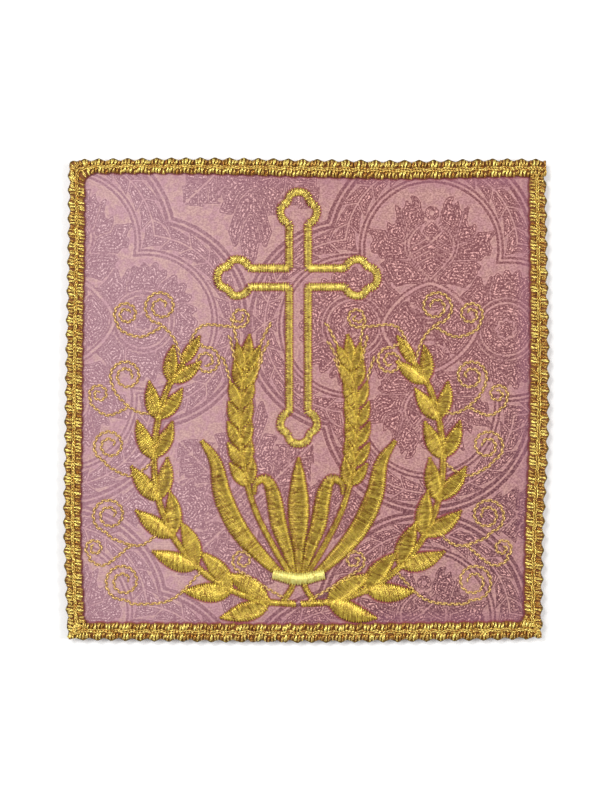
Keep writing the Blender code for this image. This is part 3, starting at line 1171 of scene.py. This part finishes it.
# Distances along the braid at which its right side and its bottom end, and the share across it of its seam.
BRAID_RIGHT = 150.0
BRAID_BOTTOM = 306.0
BRAID_SEAM = 0.055


def flat_outline(node):
    """Outline of a flat CAD node, in millimetres, as one closed line of points."""
    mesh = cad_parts[node].data
    top = max(vertex.co.z for vertex in mesh.vertices)
    places = [tuple(round(number / MM, 3) for number in vertex.co[:2]) for vertex in mesh.vertices]
    edges = {}
    for face in mesh.polygons:
        if any(mesh.vertices[number].co.z <= top - 1e-5 for number in face.vertices):
            continue
        corners = [places[number] for number in face.vertices]
        for a, b in zip(corners, corners[1:] + corners[:1]):
            if a != b and not edges.pop((b, a), False):
                edges[(a, b)] = True
    following = dict(edges.keys())
    start = next(iter(following))
    line = [start]
    while following[line[-1]] != start:
        line.append(following[line[-1]])
    return np.array(line)


def meets(outline, origin, direction):
    """Distances from an origin, along a direction, at which a line meets a closed outline."""
    a = outline - np.array(origin)
    edge = np.roll(outline, -1, axis=0) - outline
    across = direction[0] * edge[:, 1] - direction[1] * edge[:, 0]
    across = np.where(np.abs(across) < 1e-9, 1e-9, across)
    reach = (a[:, 0] * edge[:, 1] - a[:, 1] * edge[:, 0]) / across
    share = (a[:, 0] * direction[1] - a[:, 1] * direction[0]) / across
    return np.sort(reach[(share >= 0) & (share < 1) & (reach > 0)])


def station(outline, origin, way, folds=()):
    """Inner and outer point of the braid straight outward from a place, or none past a corner's fold."""
    origin = np.array(origin)
    way = np.array(way)
    found = meets(outline, origin, way)
    if len(found) == 0:
        return []
    near = origin + way * found[-2:][0]
    far = origin + way * found[-1]
    along = 1 if way[0] else 0
    for fold_in, fold_out in folds:
        beyond = (near[along] - fold_in[along]) * np.sign(fold_in[along])
        if beyond > 0:
            share = beyond / abs(fold_out[along] - fold_in[along])
            if share > BRAID_FOLD_END:
                return []
            near = fold_in + (fold_out - fold_in) * share - way * BRAID_LAP
    return [(near, far)]


def braid_stations():
    """Inner and outer points of the braid at equal steps, from its start to its slanted end."""
    outline = flat_outline("braid")
    low, high = (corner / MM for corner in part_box("braid"))
    folds = []
    for way in ((HALF_ROOT, -HALF_ROOT), (-HALF_ROOT, -HALF_ROOT)):
        folds.append([np.array(way) * reach for reach in meets(outline, (0, 0), way)[:2]])
    pairs = []
    for y in np.arange(BRAID_STARTS, low.y, -WEFT_STEP):
        pairs += station(outline, (0.0, y), (1.0, 0.0), folds[:1])
    tucked = WEFT_STEP * np.arange(BRAID_TUCKED, 0, -1)
    pairs = [pairs[0] + np.array((0.0, y)) for y in tucked] + pairs
    for x in np.arange(high.x, low.x, -WEFT_STEP):
        pairs += station(outline, (x, 0.0), (0.0, -1.0), folds)
    corner = np.array((low.x + BRAID_CORNER, high.y - BRAID_CORNER))
    for y in np.arange(low.y, corner[1], WEFT_STEP):
        pairs += station(outline, (0.0, y), (-1.0, 0.0), folds[1:])
    for degrees in np.arange(180, 90, -BRAID_CORNER_STEP):
        way = np.array(turned(1.0, 0.0, degrees))
        pairs.append([corner + way * reach for reach in meets(outline, corner, way)[:2]])
    for x in np.arange(corner[0], high.x - 1.0, WEFT_STEP):
        pairs += station(outline, (x, 0.0), (0.0, 1.0))
    return np.array(pairs).transpose(1, 0, 2)


def strip_place(strip, along, share):
    """Places on the braid, from distances along it and shares across it, 0 inside and 1 outside."""
    length, inner, outer = strip
    ins = points_at(inner, length, along)
    outs = points_at(outer, length, along)
    return ins + (outs - ins) * np.asarray(share)[..., None]


def strip_path(strip, along, share, height):
    """One path along the braid, at a share of its width and at a height."""
    path = np.full((1, len(along), 3), height)
    path[0, :, :2] = strip_place(strip, along, share)
    return path


def scallop_phase(strip, edge):
    """Function from a distance along the braid to its place in a scallop, 0 at the peak."""
    length, inner, outer = strip
    reach = np.linalg.norm(edge - (inner + outer) / 2, axis=1)
    window = round(SCALLOP_PITCH / WEFT_STEP)
    smooth = np.convolve(np.pad(reach, window, mode="edge"), np.ones(window) / window, "same")
    rise = reach - smooth[window:-window]
    valleys = [length[0]]
    for index in range(2, len(rise) - 2):
        lowest = rise[index] == rise[index - 2:index + 3].min()
        if lowest and length[index] - valleys[-1] > 0.6 * SCALLOP_PITCH:
            valleys.append(length[index])
    valleys = np.array(valleys)
    return lambda along: np.interp(along, valleys, np.arange(len(valleys))) % 1 - 0.5


def plies(paths, spread, radius, pitch, sides):
    """Two threads twisted round each other along each path."""
    side, out = square_to(paths)
    length = distances(paths)
    start = rng.uniform(0, math.tau, (len(paths), 1))
    parts = []
    for half_turn in (0.0, math.pi):
        turn = (start + length * math.tau / pitch + half_turn)[..., None]
        parts.append(threads(paths + spread * (np.cos(turn) * side + np.sin(turn) * out), radius, sides))
    return parts


def wrap_paths(strip, edge, phase, root, tip, lean, base):
    """Paths of the wraps of one half of the braid, from its middle over to one edge, and their starts."""
    length = strip[0]
    edge_length = distances(edge)
    edge_starts = np.arange(0.4, edge_length[-1] - 0.3, WRAP_PITCH)
    starts = np.interp(edge_starts, edge_length, length) + rng.normal(0, 0.08, len(edge_starts))
    t = np.linspace(0, 1, WRAP_RINGS)
    place = phase(starts)[:, None]
    fan = place * SCALLOP_PITCH * WRAP_FAN * (1 - t) ** 1.5
    along = np.clip(starts[:, None] - fan + lean * (t - 0.5), 0, length[-1])
    outward = np.sign(tip - root)
    valley = np.abs(2 * place) ** 3
    first = root + outward * WRAP_HOLE * valley
    last = tip + outward * WRAP_NICK * (valley - 1 - np.sin(math.tau * place) ** 2)
    paths = np.zeros((*along.shape, 3))
    paths[..., :2] = strip_place(strip, along, first + (last - first) * t)
    hump = 0.30 + 0.50 * np.sin(math.pi * np.clip(0.06 + t, 0, 1)) ** 0.7 - 0.12 * t ** 3
    paths[..., 2] = base + hump + rng.normal(0, 0.06, (len(starts), 1))
    return paths, starts


def build_backing(strip, base):
    """Flat strip under the wraps, in place of the CAD braid."""
    _, inner, outer = strip
    shares = np.linspace(*BACKING_SHARES, 7)
    x, y = np.moveaxis(inner[:, None] + (outer - inner)[:, None] * shares[None, :, None], -1, 0)
    numbers = np.arange(x.size).reshape(x.shape)
    loop = grid_loop(numbers)
    points = np.concatenate((grid_points(x, y, base + BACKING_HEIGHT), grid_points(x, y, base)))
    faces = [grid_faces(numbers, False), grid_faces(numbers + x.size, True), loop_faces(loop, loop + x.size)]
    rust = gold_material("braid_backing", colour(96, 48, 4), colour(142, 84, 20), 0.6, 0.2, 2.4)
    backing = mesh_piece("braid_backing", points, faces, "gold_braid", rust)
    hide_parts("braid")
    return backing


def build_wraps(strip, base, gold, name, root, tip, lean):
    """Twisted wraps of one half of the braid. The outer ones are darker at the right and the bottom: painted
    shade.
    """
    outer_half = tip > root
    edge = strip[2] if outer_half else strip[1]
    phase = scallop_phase(strip, edge)
    paths, starts = wrap_paths(strip, edge, phase, root, tip, lean, base)
    parts = plies(paths, WRAP_SPREAD, WRAP_RADIUS, WRAP_TWIST, WRAP_SIDES)
    piece = mesh_piece(name, *joined(parts), "gold_braid", gold)
    tone = rng.beta(0.75, 0.75, len(paths)) + 0.34 * np.cos(math.tau * phase(starts))
    # Painted shade: outer wraps darker along the right side, less so along the bottom.
    if outer_half:
        tone -= np.where(starts < BRAID_RIGHT, 0.3, np.where(starts < BRAID_BOTTOM, 0.2, 0.0))
    tone = np.concatenate((tone, tone + rng.normal(0, 0.15, len(tone))))
    add_values(piece, "tone", np.clip(np.repeat(tone, WRAP_RINGS * WRAP_SIDES), 0, 1))
    return piece


def build_cord(strip, base, along, gold):
    """Two twisted cords along the middle, with a tone for every third ring of points."""
    parts = []
    for share, pitch in CORDS:
        path = strip_path(strip, along, share, base + CORD_HEIGHT)
        parts += plies(path, CORD_SPREAD, CORD_RADIUS, pitch, CORD_SIDES)
    cord = mesh_piece("braid_cord", *joined(parts), "gold_braid", gold)
    count = len(cord.data.vertices)
    run = 3 * CORD_SIDES
    tone = rng.normal(0.36, 0.28, count // run + 1)
    add_values(cord, "tone", np.clip(np.repeat(tone, run)[:count], 0, 1))
    return cord


def build_edge_thread(strip, base, along):
    """Lumpy dark thread along the outer edge."""
    place = scallop_phase(strip, strip[2])(along)
    share = EDGE_SHARE - WRAP_NICK * np.sin(math.tau * place) ** 2
    path = strip_path(strip, along, share, base + EDGE_HEIGHT)
    lumps = 0.20 + 0.08 * np.cos(math.tau * place)
    dark = gold_material("edge_thread", colour(44, 34, 4), colour(120, 94, 28), 0.45, 0.3, 1.4)
    return mesh_piece("braid_edge_thread", *threads(path, lumps[None], 6), "gold_braid", dark)


def build_braid():
    """Backing strip, twisted wraps, middle cords and edge thread of the braid, and its seam's places."""
    inner, outer = braid_stations()
    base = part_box("braid")[0].z / MM
    length = distances((inner + outer) / 2)
    strip = (length, inner, outer)
    along = np.arange(0.3, length[-1] - 0.2, CORD_STEP)
    gold = yarn_material("braid_gold", colour(150, 84, 0), colour(255, 236, 130), 0.26, 0.62, 2.2, 0.16)
    pieces = [build_backing(strip, base)]
    pieces.append(build_wraps(strip, base, gold, "braid_wraps_inner", 0.40, 0.04, -0.35))
    pieces.append(build_wraps(strip, base, gold, "braid_wraps_outer", 0.60, 0.96, 0.35))
    pieces.append(build_cord(strip, base, along, gold))
    pieces.append(build_edge_thread(strip, base, along))
    return pieces, inner + (outer - inner) * BRAID_SEAM


# Scene

FLOOR_HALF = 1500.0
FLOOR_CELLS = 12
FLOOR_COLOURS = ((0.89, 0.89, 0.89, 1.0), (0.91, 0.91, 0.91, 1.0))
FLOOR_NOISE = 0.01

# Lights: name, place and width in metres, and power.
LIGHTS = (
    ("key", (-0.5, 0.6, 1.1), 0.4, 7.0),
    ("left", (-0.8, 0.12, 0.75), 0.45, 4.5),
    ("right", (0.8, 0.1, 0.7), 0.45, 6.0),
)
SKY_COLOUR = (1.0, 0.99, 0.97, 1.0)
SKY_STRENGTH = 0.5


def build_floor():
    """Plain pale surface that the pall rests on."""
    shares = np.linspace(-FLOOR_HALF, FLOOR_HALF, FLOOR_CELLS + 1)
    x, y = np.meshgrid(shares, shares)
    numbers = np.arange(x.size).reshape(x.shape)
    g = Graph("pale_floor")
    material = g.finish(Base_Color=g.mix(g.noise(FLOOR_NOISE), *FLOOR_COLOURS), Roughness=0.9)
    floor = mesh_object("floor", grid_points(x, y, 0.0), [grid_faces(numbers, True)], material)


def build_light():
    """Soft daylight from above, with broad lights low at both sides, all aimed at the pall."""
    world = bpy.data.worlds.new("studio")
    world.use_nodes = True
    background = world.node_tree.nodes["Background"]
    background.inputs["Color"].default_value = SKY_COLOUR
    background.inputs["Strength"].default_value = SKY_STRENGTH
    bpy.context.scene.world = world
    for name, place, size, power in LIGHTS:
        light = bpy.data.lights.new(name, "AREA")
        light.shape = "DISK"
        light.size = size
        light.energy = power
        item = new_object(name, light)
        item.location = place
        item.rotation_euler = Vector(place).to_track_quat("Z", "Y").to_euler()


def build_camera():
    """Camera straight above the pall, with the photo's frame."""
    data = bpy.data.cameras.new("camera")
    data.lens = LENS
    data.sensor_width = SENSOR
    camera = new_object("camera", data)
    distance = MM_PER_PIXEL * PHOTO_HEIGHT * LENS / SENSOR
    x, y = from_pixel(PHOTO_WIDTH / 2, PHOTO_HEIGHT / 2)
    camera.location = (x * MM, y * MM, (distance + CLOTH_HEIGHT) * MM)
    bpy.context.scene.camera = camera
    bpy.context.scene.view_settings.view_transform = "Standard"


CLOTH_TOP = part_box("panel")[1].z / MM

build_camera()
build_light()
build_floor()
embroidery, satin_ends = build_embroidery()
braid, braid_inside = build_braid()
panel = build_panel(np.concatenate((*satin_ends, braid_inside)))
trims = embroidery + braid
